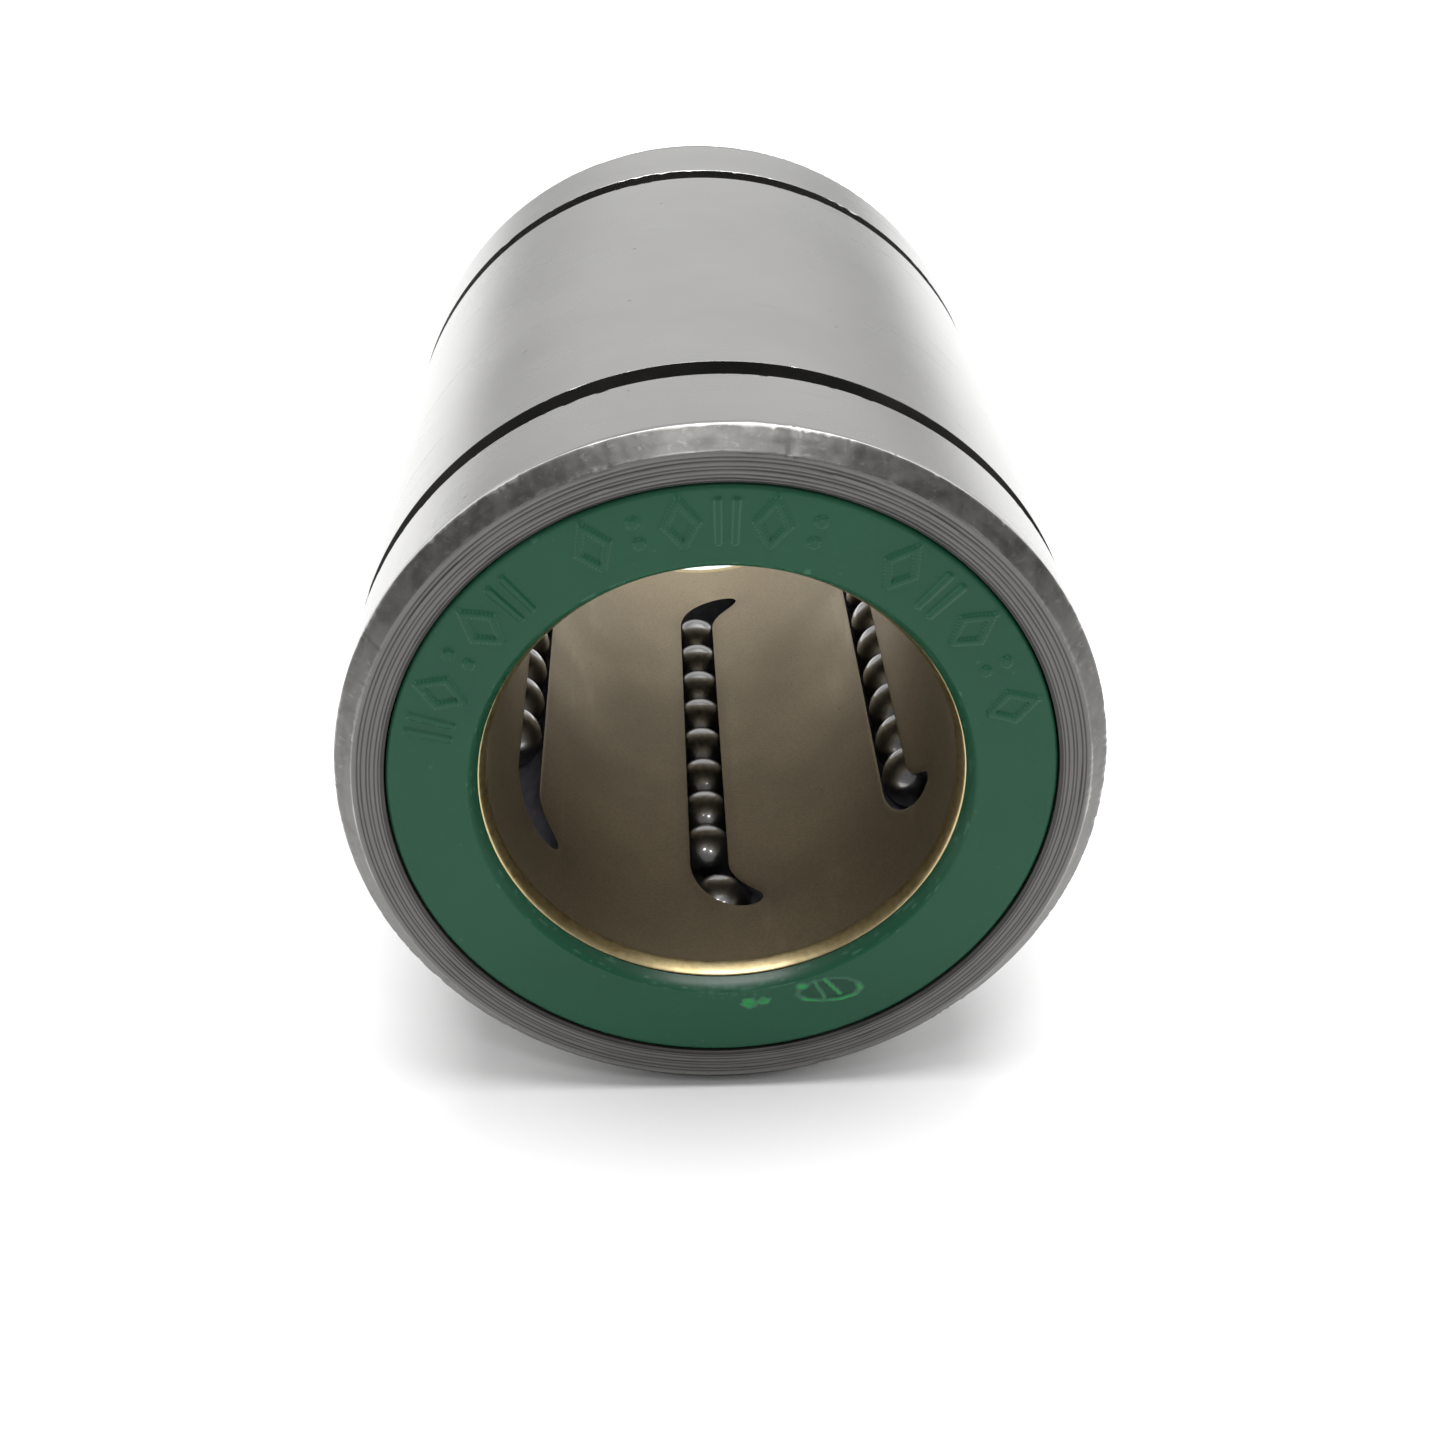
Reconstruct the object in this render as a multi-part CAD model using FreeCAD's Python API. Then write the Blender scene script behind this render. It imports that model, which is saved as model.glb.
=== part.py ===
import FreeCAD, Part
import math
import os

# Linear ball bushing for a 3/4 inch shaft: a steel sleeve, a machined brass cage, two moulded end
# rings and six endless circuits of balls. Millimetres. The bore runs along Y, the front end
# faces -Y and +Z is up. The origin is the middle of the bore.

os.makedirs("parts", exist_ok=True)

INCH = 25.4
ORIGIN = FreeCAD.Vector(0, 0, 0)
Y_AXIS = FreeCAD.Vector(0, 1, 0)

# The standard envelope of the 3/4 inch bushing.
shaft_radius = 0.75 * INCH / 2
outside_radius = 1.25 * INCH / 2
half_length = 1.625 * INCH / 2

# Sleeve, outside: end chamfers and the two grooves for retaining rings.
sleeve_chamfer = 0.8
retaining_groove_outer_edge = 29.61 / 2
retaining_groove_width = 1.42
retaining_groove_radius = 29.87 / 2

# Balls. Two neighbours in a row stand one pitch apart.
ball_radius = 1.5
ball_pitch = 3.05
shaft_gap = 0.02
raceway_gap = 0.04
pocket_gap = 0.1

# One circuit is a stadium: a straight load row, a half turn, a straight return row, a half turn.
circuit_count = 6
bottom_circuit_angle = -2.0
turn_radius = ball_pitch
half_straight = 11.75
chord_tilt = 0.8
balls_per_circuit = 19
balls_in_half_turn = 3

# For each circuit, counted from the bottom one towards +X: where its first load ball stands at
# mid travel, in pitches from the front tangent; the free play in its row, as the number of a
# ball and how many pitches are empty before it, with what is left over ahead of the first ball;
# and how far the load row rests from mid travel towards the rear, in millimetres.
circuit_states = [
    {"first": 0.3525, "gaps": {8: 0.60, 10: 0.11, 17: 1.34}, "rest": 1.40},
    {"first": 0.3525, "gaps": {18: 0.65}, "rest": 0.12},
    {"first": 0.3525, "gaps": {15: 2.41}, "rest": -0.60},
    {"first": 0.3525, "gaps": {15: 2.41}, "rest": 0.90},
    {"first": 0.3525, "gaps": {15: 2.41}, "rest": -1.10},
    {"first": 1.0575, "gaps": {}, "rest": 1.17},
]

# Cage: a brass tube whose thinner noses carry the end rings.
cage_bore_radius = 9.75
cage_barrel_radius = 12.45
cage_nose_radius = 11.2
cage_shoulder = 16.55
cage_end_depth = 0.8
bevel_mouth_radius = 10.05
bevel_length = 0.6
nose_chamfer = 0.3

# Sleeve, inside: the raceway, the end counterbores and the grooves that hold the end rings.
raceway_radius = shaft_radius + shaft_gap + 2 * ball_radius + raceway_gap
raceway_half_length = 11.9
counterbore_radius = 13.8
mouth_chamfer = 0.12
bead_centre = 18.2
bead_half_width = 0.5
bead_height = 0.2
bead_slope = 0.25

# End rings: a flange round the cage's nose and a collar that closes the turns.
ring_fit_gap = 0.05
ring_face_depth = 0.12
ring_lip_radius = 0.5
ring_edge_chamfer = 0.15
collar_inner_radius = 12.55
collar_end_gap = 0.05

straight_pitches = 2 * half_straight / ball_pitch
degrees_per_pitch = 180 / balls_in_half_turn
load_centre_radius = shaft_radius + shaft_gap + ball_radius
pocket_radius = ball_radius + pocket_gap


def profile_point(y, radius):
    """A point of an outline that is turned about the Y axis."""
    return FreeCAD.Vector(radius, y, 0)


def line(start, end):
    return Part.LineSegment(start, end).toShape()


def turned(edges):
    """The solid that a closed outline sweeps in one turn about the Y axis."""
    face = Part.Face(Part.Wire(edges))
    return face.revolve(ORIGIN, Y_AXIS, 360)


def turned_outline(corners):
    """The same for an outline of straight lines, given as (y, radius) corners."""
    points = [profile_point(y, radius) for y, radius in corners]
    closed = points + points[:1]
    return turned([line(a, b) for a, b in zip(closed, closed[1:])])


def mirrored(corners):
    """Corners for one end, followed by the same corners at the other end."""
    return corners + [(-y, radius) for y, radius in reversed(corners)]


def circuit_frame(index):
    """A circuit's load centre at y = 0, its chord direction and its outward normal."""
    angle = math.radians(bottom_circuit_angle + index * 360 / circuit_count)
    tilt = math.radians(chord_tilt)
    radial = FreeCAD.Vector(math.sin(angle), 0, -math.cos(angle))
    tangent = FreeCAD.Vector(math.cos(angle), 0, math.sin(angle))
    chord = tangent * math.cos(tilt) + radial * math.sin(tilt)
    normal = radial * math.cos(tilt) - tangent * math.sin(tilt)
    return radial * load_centre_radius, chord, normal


def turn_centre(index, end):
    """The middle of a half turn. end is 1 at the rear and -1 at the front."""
    load, chord, normal = circuit_frame(index)
    return load + chord * turn_radius + Y_AXIS * (end * half_straight)


def track_rod(centre):
    """The space that a straight row sweeps, pocket clearance included."""
    start = centre - Y_AXIS * half_straight
    return Part.makeCylinder(pocket_radius, 2 * half_straight, start, Y_AXIS)


def track_bend(index, end):
    """The space that the balls sweep in one half turn."""
    load, chord, normal = circuit_frame(index)
    # Positive turning about the outward normal leads from the load row to the return row at
    # the rear, and from the return row to the load row at the front.
    start = load if end > 0 else load + chord * (2 * turn_radius)
    circle = Part.Circle(start + Y_AXIS * (end * half_straight), Y_AXIS, pocket_radius)
    disc = Part.Face(Part.Wire(circle.toShape()))
    return disc.revolve(turn_centre(index, end), normal, 180)


def stadium_wire(index, half_width):
    """A flat stadium round the circuit's middle, in the plane of its ball centres."""
    load, chord, normal = circuit_frame(index)
    middle = load + chord * turn_radius
    side = chord * half_width
    rear = Y_AXIS * half_straight
    tip = Y_AXIS * (half_straight + half_width)
    near_rear = middle - side + rear
    far_rear = middle + side + rear
    near_front = middle - side - rear
    far_front = middle + side - rear
    edges = [
        line(near_front, near_rear),
        Part.Arc(near_rear, middle + tip, far_rear).toShape(),
        line(far_rear, far_front),
        Part.Arc(far_front, middle - tip, near_front).toShape(),
    ]
    return Part.Wire(edges)


def open_track(index):
    """The slot above the ball centres, as a ball-nosed cutter leaves it on its way out."""
    load, chord, normal = circuit_frame(index)
    outer = Part.Face(stadium_wire(index, turn_radius + pocket_radius))
    inner = Part.Face(stadium_wire(index, turn_radius - pocket_radius))
    return outer.cut(inner).extrude(normal * cage_nose_radius)


def load_rod(index):
    return track_rod(circuit_frame(index)[0])


def return_rod(index):
    load, chord, normal = circuit_frame(index)
    return track_rod(load + chord * (2 * turn_radius))


def make_sleeve():
    groove_inner_edge = retaining_groove_outer_edge - retaining_groove_width
    outside = mirrored([
        (-half_length, outside_radius - sleeve_chamfer),
        (-half_length + sleeve_chamfer, outside_radius),
        (-retaining_groove_outer_edge, outside_radius),
        (-retaining_groove_outer_edge, retaining_groove_radius),
        (-groove_inner_edge, retaining_groove_radius),
        (-groove_inner_edge, outside_radius),
    ])
    bead_radius = counterbore_radius + bead_height
    inside = mirrored([
        (-half_length, counterbore_radius + mouth_chamfer),
        (-half_length + mouth_chamfer, counterbore_radius),
        (-bead_centre - bead_half_width, counterbore_radius),
        (-bead_centre - bead_half_width + bead_slope, bead_radius),
        (-bead_centre + bead_half_width - bead_slope, bead_radius),
        (-bead_centre + bead_half_width, counterbore_radius),
        (-raceway_half_length, counterbore_radius),
        (-raceway_half_length, raceway_radius),
    ])
    sleeve = turned_outline(outside + inside[::-1])
    for index in range(circuit_count):
        relief = return_rod(index).fuse([track_bend(index, -1), track_bend(index, 1)])
        sleeve = sleeve.cut(relief)
    return sleeve


def make_cage():
    end = half_length - cage_end_depth
    outside = mirrored([
        (-end, cage_nose_radius - nose_chamfer),
        (-end + nose_chamfer, cage_nose_radius),
        (-cage_shoulder, cage_nose_radius),
        (-cage_shoulder, cage_barrel_radius),
    ])
    inside = mirrored([
        (-end, bevel_mouth_radius),
        (-end + bevel_length, cage_bore_radius),
    ])
    cage = turned_outline(outside + inside[::-1])
    for index in range(circuit_count):
        bends = [track_bend(index, -1), track_bend(index, 1)]
        track = load_rod(index).fuse([return_rod(index)] + bends)
        cage = cage.cut(track)
        cage = cage.cut(open_track(index))
    return cage


def make_end_ring(end):
    """A ring with its outer face towards end, which is -1 at the front and 1 at the rear."""
    outer_radius = counterbore_radius - ring_fit_gap
    bead_radius = outer_radius + bead_height
    flange_radius = cage_nose_radius + ring_fit_gap
    face = half_length - ring_face_depth
    cage_end = half_length - cage_end_depth + ring_fit_gap
    shoulder = cage_shoulder + ring_fit_gap
    collar_end = raceway_half_length + collar_end_gap
    lip_middle = ring_lip_radius * (1 - math.sqrt(0.5))
    corners = [
        (face - ring_lip_radius, bevel_mouth_radius),
        (cage_end, bevel_mouth_radius),
        (cage_end, flange_radius),
        (shoulder, flange_radius),
        (shoulder, collar_inner_radius),
        (collar_end, collar_inner_radius),
        (collar_end, outer_radius),
        (bead_centre - bead_half_width, outer_radius),
        (bead_centre - bead_half_width + bead_slope, bead_radius),
        (bead_centre + bead_half_width - bead_slope, bead_radius),
        (bead_centre + bead_half_width, outer_radius),
        (face - ring_edge_chamfer, outer_radius),
        (face, outer_radius - ring_edge_chamfer),
        (face, bevel_mouth_radius + ring_lip_radius),
    ]
    points = [profile_point(end * y, radius) for y, radius in corners]
    lip_radius = bevel_mouth_radius + lip_middle
    lip_point = profile_point(end * (face - lip_middle), lip_radius)
    edges = [line(a, b) for a, b in zip(points, points[1:])]
    edges.append(Part.Arc(points[-1], lip_point, points[0]).toShape())
    ring = turned(edges)
    for index in range(circuit_count):
        ring = ring.cut(track_bend(index, end))
    return ring


def ball_places(state):
    """The places of a circuit's balls at mid travel, in pitches from the front tangent."""
    places = []
    place = state["first"]
    for number in range(balls_per_circuit):
        place += state["gaps"].get(number, 0)
        places.append(place + number)
    return places


def ball_groups(index):
    """Each group of balls that moves as one body, as its name and its ball centres."""
    state = circuit_states[index]
    load, chord, normal = circuit_frame(index)
    back = load + chord * (2 * turn_radius)
    rear_turn_start = straight_pitches
    return_start = rear_turn_start + balls_in_half_turn
    front_turn_start = return_start + straight_pitches
    groups = {"load": [], "rear_turn": [], "return": [], "front_turn": []}
    for place in ball_places(state):
        if place < rear_turn_start:
            y = -half_straight + place * ball_pitch + state["rest"]
            groups["load"].append(load + Y_AXIS * y)
        elif place < return_start:
            turned_by = (place - rear_turn_start) * degrees_per_pitch
            groups["rear_turn"].append(ball_in_turn(index, 1, turned_by))
        elif place < front_turn_start:
            y = half_straight - (place - return_start) * ball_pitch - state["rest"]
            groups["return"].append(back + Y_AXIS * y)
        else:
            turned_by = (place - front_turn_start) * degrees_per_pitch
            groups["front_turn"].append(ball_in_turn(index, -1, turned_by))
    return groups


def ball_in_turn(index, end, turned_by):
    """A ball centre in a half turn: how far it has turned at mid travel, moved to rest."""
    load, chord, normal = circuit_frame(index)
    rest_turn = circuit_states[index]["rest"] / ball_pitch * degrees_per_pitch
    angle = math.radians(turned_by + rest_turn)
    across = chord * (-end * turn_radius * math.cos(angle))
    along = Y_AXIS * (end * turn_radius * math.sin(angle))
    return turn_centre(index, end) + across + along


def make_balls(centres):
    return Part.makeCompound([Part.makeSphere(ball_radius, centre) for centre in centres])


def save(name, shape):
    shape.exportStep("parts/" + name + ".step")
    volume = sum(solid.Volume for solid in shape.Solids)
    print(name, len(shape.Solids), "solids", round(volume, 3), "mm3, valid:", shape.isValid())


save("outer_sleeve", make_sleeve())
save("ball_cage", make_cage())
save("front_end_ring", make_end_ring(-1))
save("rear_end_ring", make_end_ring(1))
for circuit in range(circuit_count):
    for group, centres in ball_groups(circuit).items():
        save("circuit_" + str(circuit + 1) + "_" + group + "_balls", make_balls(centres))
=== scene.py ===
import math

import bmesh
import bpy
import numpy as np
from mathutils import Matrix, Vector


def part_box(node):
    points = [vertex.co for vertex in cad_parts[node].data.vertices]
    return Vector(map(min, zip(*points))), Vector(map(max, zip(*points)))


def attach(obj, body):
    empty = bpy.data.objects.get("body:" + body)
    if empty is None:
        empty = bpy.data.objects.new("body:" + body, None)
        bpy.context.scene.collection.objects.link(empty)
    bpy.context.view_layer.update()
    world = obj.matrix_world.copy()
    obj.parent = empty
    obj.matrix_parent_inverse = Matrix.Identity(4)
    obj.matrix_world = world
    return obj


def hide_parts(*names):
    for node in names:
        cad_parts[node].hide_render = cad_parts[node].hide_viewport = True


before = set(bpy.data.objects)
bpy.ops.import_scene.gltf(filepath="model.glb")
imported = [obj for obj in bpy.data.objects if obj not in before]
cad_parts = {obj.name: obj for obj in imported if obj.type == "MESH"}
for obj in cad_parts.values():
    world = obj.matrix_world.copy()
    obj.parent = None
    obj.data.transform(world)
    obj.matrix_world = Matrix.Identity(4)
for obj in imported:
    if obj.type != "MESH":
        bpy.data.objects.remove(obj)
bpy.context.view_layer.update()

# The looks of a linear ball bushing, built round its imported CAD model. Metres, bore along Y,
# front end facing -Y, +Z up. Outlines are given in millimetres.

MM = 0.001
TURN = 2 * math.pi

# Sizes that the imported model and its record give, in millimetres.
HALF_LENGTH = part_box("outer_sleeve")[1].y / MM
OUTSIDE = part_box("outer_sleeve")[1].x / MM
RING_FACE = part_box("rear_end_ring")[1].y / MM
CAGE_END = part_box("ball_cage")[1].y / MM

# Sizes of the CAD source that no box shows.
CHAMFER = 0.8
GROOVE_OUTER, GROOVE_INNER, GROOVE_FLOOR = 14.805, 13.385, 14.935
COUNTERBORE, RACEWAY, RACEWAY_END = 13.8, 12.585, 11.9
BEAD, BEAD_HALF, BEAD_HEIGHT, BEAD_SLOPE = 18.2, 0.5, 0.2, 0.25
MOUTH = 0.12
CAGE_BORE, CAGE_MOUTH, CAGE_BEVEL = 9.75, 10.05, 0.6
CAGE_NOSE, CAGE_BARREL, CAGE_SHOULDER, NOSE_CHAMFER = 11.2, 12.45, 16.55, 0.3
RING_OUTER, LIP_WIDTH, LIP_DEPTH, RING_EDGE = 13.75, 0.4, 0.6, 0.15
COLLAR_INNER, COLLAR_END, FIT_GAP = 12.55, 11.95, 0.05
BALL_CENTRE, POCKET, TURN_RADIUS, HALF_STRAIGHT = 11.045, 1.6, 3.05, 11.75
CIRCUITS, FIRST_ANGLE, CHORD_TILT = 6, -2.0, 0.8

# Segments round a fine row, and round a hidden one.
FINE = 900
COARSE = 225
SHARP_DEGREES = 38

# Camera, in front of the object.
CAMERA_PLACE = (-2.483 * MM, -85.368 * MM, 42.678 * MM)
CAMERA_RIGHT = (0.9993, -0.0376, 0.0)
CAMERA_UP = (0.0194, 0.5178, 0.8553)
CAMERA_LENS = 47.25
SENSOR = 36.0

# Stage: the floor in metres, and the strength of the dim light in front.
FLOOR_HALF_SIDE = 3.0
WORLD_FRONT = 0.28

rng = np.random.default_rng(20)


# ---------------------------------------------------------------- turned meshes

class Row:
    """One circle of a turned piece. y and r are in millimetres, plain or one value per segment."""

    def __init__(self, y, r, skin=0, count=None, wear=0.0, dirt=0.0):
        self.count = count or FINE
        self.skin = skin
        self.y, self.r, self.wear, self.dirt = (
            np.broadcast_to(np.asarray(v, float), self.count) for v in (y, r, wear, dirt)
        )


def clock(count):
    """The angle of each segment in radians: 0 at the top, growing towards +X."""
    return np.arange(count) / count * TURN


def ripple(cells, count=None):
    """Smooth seeded noise from 0 to 1 round one turn, with that many cells."""
    values = rng.random(cells)
    at = np.arange(count or FINE) / (count or FINE) * cells
    i = at.astype(int)
    f = at - i
    f = f * f * (3 - 2 * f)
    return values[i % cells] * (1 - f) + values[(i + 1) % cells] * f


def band_faces(a, b, first_a, first_b):
    """Faces between two rows. A finer row's extra vertices go into the coarser row's faces."""
    if a.count == b.count:
        i = np.arange(a.count)
        j = (i + 1) % a.count
        return np.stack([first_a + i, first_a + j, first_b + j, first_b + i], 1).tolist()
    faces = []
    step_a, step_b = max(a.count // b.count, 1), max(b.count // a.count, 1)
    for n in range(min(a.count, b.count)):
        on_a = [first_a + (n * step_a + s) % a.count for s in range(step_a + 1)]
        on_b = [first_b + (n * step_b + s) % b.count for s in range(step_b + 1)]
        faces.append(on_a + on_b[::-1])
    return faces


def mesh_of(name, vertices, faces, skins=None):
    """A closed mesh with its faces outward, in metres from millimetres."""
    mesh = bpy.data.meshes.new(name)
    mesh.from_pydata((np.asarray(vertices, float) * MM).tolist(), [], faces)
    if skins is not None:
        mesh.polygons.foreach_set("material_index", np.asarray(skins, np.int32))
    work = bmesh.new()
    work.from_mesh(mesh)
    bmesh.ops.recalc_face_normals(work, faces=work.faces)
    work.to_mesh(mesh)
    work.free()
    return mesh


def turned(name, rows):
    """The closed mesh of an outline of rows, with two per-vertex attributes for paler and darker
    colour: real worn metal and grime in places, painted highlight and painted shade in others.
    """
    vertices, faces, skins, first = [], [], [], [0]
    for row in rows:
        angle = clock(row.count)
        vertices.append(np.stack([row.r * np.sin(angle), row.y, row.r * np.cos(angle)], 1))
        first.append(first[-1] + row.count)
    for n, row in enumerate(rows):
        after = (n + 1) % len(rows)
        made = band_faces(row, rows[after], first[n], first[after])
        faces += made
        skins += [row.skin] * len(made)
    mesh = mesh_of(name, np.concatenate(vertices), faces, skins)
    for label in ("wear", "dirt"):
        layer = mesh.attributes.new(label, "FLOAT", "POINT")
        values = np.concatenate([getattr(row, label) for row in rows])
        layer.data.foreach_set("value", values.astype(np.float32))
    return mesh


def swept(centres, sides, normal, section, closed):
    """A tube: its section is (side, outward) offsets, carried along centres."""
    vertices = []
    for centre, side in zip(centres, sides):
        vertices += [centre + side * a + normal * b for a, b in section]
    size, count = len(section), len(centres)
    faces = []
    for n in range(count if closed else count - 1):
        here, there = n * size, (n + 1) % count * size
        for s in range(size):
            t = (s + 1) % size
            faces.append([here + s, here + t, there + t, there + s])
    if not closed:
        faces.append(list(range(size))[::-1])
        faces.append([(count - 1) * size + s for s in range(size)])
    return vertices, faces


def joined_mesh(name, parts):
    """One mesh of separate closed parts."""
    vertices, faces = [], []
    for part_vertices, part_faces in parts:
        base = len(vertices)
        vertices += list(part_vertices)
        faces += [[base + n for n in face] for face in part_faces]
    return mesh_of(name, vertices, faces)


def cut(name, mesh, cutter_mesh):
    """mesh less cutter_mesh, with smooth faces and its sharp edges marked."""
    body = bpy.data.objects.new(name, mesh)
    cutter = bpy.data.objects.new(name + "_cutter", cutter_mesh)
    for thing in (body, cutter):
        bpy.context.scene.collection.objects.link(thing)
    modifier = body.modifiers.new("cut", "BOOLEAN")
    modifier.operation = "DIFFERENCE"
    modifier.solver = "MANIFOLD"
    modifier.object = cutter
    bpy.context.view_layer.update()
    evaluated = body.evaluated_get(bpy.context.evaluated_depsgraph_get())
    made = bpy.data.meshes.new_from_object(evaluated)
    body.modifiers.clear()
    body.data = made
    bpy.data.objects.remove(cutter)
    made.polygons.foreach_set("use_smooth", np.ones(len(made.polygons), bool))
    made.set_sharp_from_angle(angle=math.radians(SHARP_DEGREES))
    made.update()
    return body


# ---------------------------------------------------------------- ball tracks

Y_AXIS = np.array([0.0, 1.0, 0.0])


def circuit_frame(index):
    """A circuit's load centre at y = 0, its chord direction and its outward normal."""
    angle = math.radians(FIRST_ANGLE + index * 360 / CIRCUITS)
    tilt = math.radians(CHORD_TILT)
    radial = np.array([math.sin(angle), 0.0, -math.cos(angle)])
    tangent = np.array([math.cos(angle), 0.0, math.sin(angle)])
    chord = tangent * math.cos(tilt) + radial * math.sin(tilt)
    normal = radial * math.cos(tilt) - tangent * math.sin(tilt)
    return radial * BALL_CENTRE, chord, normal


def half_turn(index, end, steps):
    """Centres and sides along a half turn, from the load row to the return row."""
    load, chord, normal = circuit_frame(index)
    middle = load + chord * TURN_RADIUS + Y_AXIS * (end * HALF_STRAIGHT)
    sides = []
    for n in range(steps + 1):
        angle = math.pi * n / steps
        sides.append(-chord * math.cos(angle) + Y_AXIS * (end * math.sin(angle)))
    return [middle + side * TURN_RADIUS for side in sides], sides


def circuit_path(index, steps):
    """Centres and sides once round a circuit."""
    rear, rear_sides = half_turn(index, 1, steps)
    front, front_sides = half_turn(index, -1, steps)
    return rear + front[::-1], rear_sides + front_sides[::-1]


def circle_section(steps):
    """A round pocket."""
    turns = (TURN * n / steps for n in range(steps))
    return [(POCKET * math.cos(turn), POCKET * math.sin(turn)) for turn in turns]


def open_section(steps, reach):
    """A pocket that is round towards the bore and open towards the outside."""
    below = [(-POCKET * math.cos(math.pi * n / steps), -POCKET * math.sin(math.pi * n / steps))
             for n in range(steps + 1)]
    return below + [(POCKET, reach), (-POCKET, reach)]


def track_distance(points):
    """How far points are outside the nearest circuit's pocket, in millimetres."""
    nearest = np.full(len(points), 1e9)
    for index in range(CIRCUITS):
        load, chord, normal = circuit_frame(index)
        middle = load + chord * TURN_RADIUS
        away = points - middle
        along, across, out = away[:, 1], away @ chord, away @ normal
        beyond = np.maximum(np.abs(along) - HALF_STRAIGHT, 0.0)
        from_middle = np.sqrt(across ** 2 + beyond ** 2)
        nearest = np.minimum(nearest, np.hypot(from_middle - TURN_RADIUS, out) - POCKET)
    return nearest


def smooth_step(value, low, high):
    """0 below low, 1 above high, and smooth between them."""
    share = np.clip((value - low) / (high - low), 0.0, 1.0)
    return share * share * (3 - 2 * share)


# ---------------------------------------------------------------- sleeve

SLEEVE_SKINS = ("inside", "ground", "scale", "chamfer", "face")
INSIDE, GROUND, SCALE, CHAMFERED, FACED = range(5)
# Dents in the chamfer: place and width in degrees, and depth.
CHAMFER_DENTS = ((4, 1.6, 0.05), (9.5, 0.7, 0.08), (-17, 1.2, 0.04), (24, 0.8, 0.05),
                 (163, 0.8, 0.24), (-62, 0.35, 0.05), (139, 0.8, 0.08), (-128, 0.7, 0.1))
# The turning lines of an end face, from its outer edge inwards: how far each is off an even
# pitch, as a share of the pitch, and its depth.
LINE_SHIFT = (0.0, 0.12, -0.15, 0.1, -0.05, 0.08)
LINE_DEPTH = (0.010, 0.020, 0.008, 0.018, 0.012, 0.021)
# A line's floor is flat out to the first half width, and its slopes end at the second.
LINE_FLAT, LINE_REACH = 0.016, 0.048


def edge_nicks(cells, share, depth):
    """Depth of small nicks along an edge: mostly none, here and there up to depth."""
    coarse, fine = ripple(max(cells // 12, 5)), ripple(cells)
    return depth * smooth_step(fine * 0.6 + coarse * 0.55, 1 - share, 1.12)


def dent(centre_degrees, width_degrees, depth):
    """Depth all round an edge with one smooth dent in it."""
    angle = np.degrees(clock(FINE))
    away = (angle - centre_degrees + 180) % 360 - 180
    return depth * np.exp(-((away / width_degrees) ** 2))


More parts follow.
